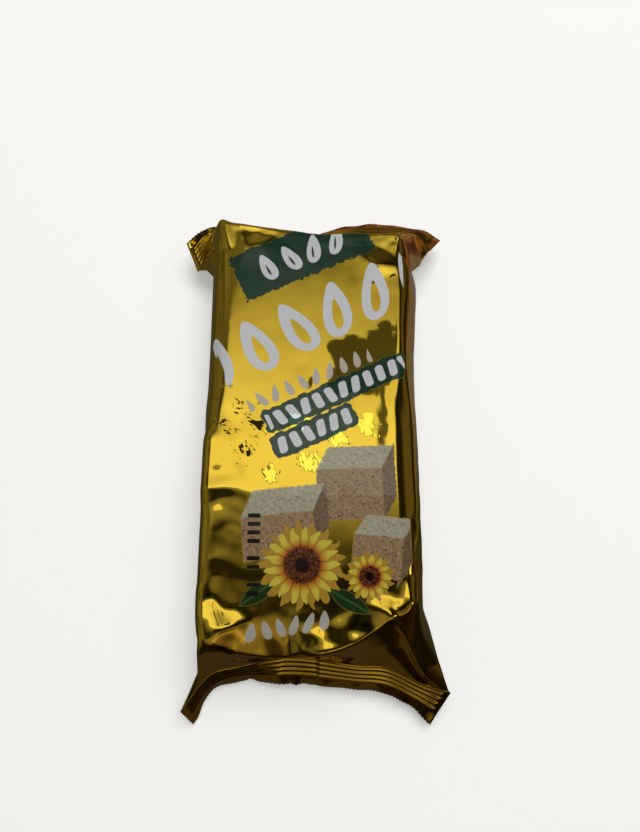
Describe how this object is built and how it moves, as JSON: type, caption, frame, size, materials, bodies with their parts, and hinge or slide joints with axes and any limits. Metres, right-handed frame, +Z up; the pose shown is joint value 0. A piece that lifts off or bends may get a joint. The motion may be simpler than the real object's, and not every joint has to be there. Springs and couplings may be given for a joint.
{
  "type": "flow-wrapped halva pack",
  "caption": "Shut flow-wrap pack of halva lying flat: a wide brick in metallised film, with a crimped toothed seal and two ears at each end and a back seam folded flat under it.",
  "frame": {"origin": "on the table under the middle of the block, on the face of the back seam that the pack lies on", "axes": "+Y along the pack towards its far end, +X across it to the right, +Z up out of the printed face"},
  "size_m": [0.1065, 0.1988, 0.0334],
  "materials": {
    "gold_film": "metallised gold packing film, glossy and crinkled, printed in green, white, tan and yellow"
  },
  "bodies": {
    "root": {"halva_pack": "gold_film"}
  },
  "joints": []
}
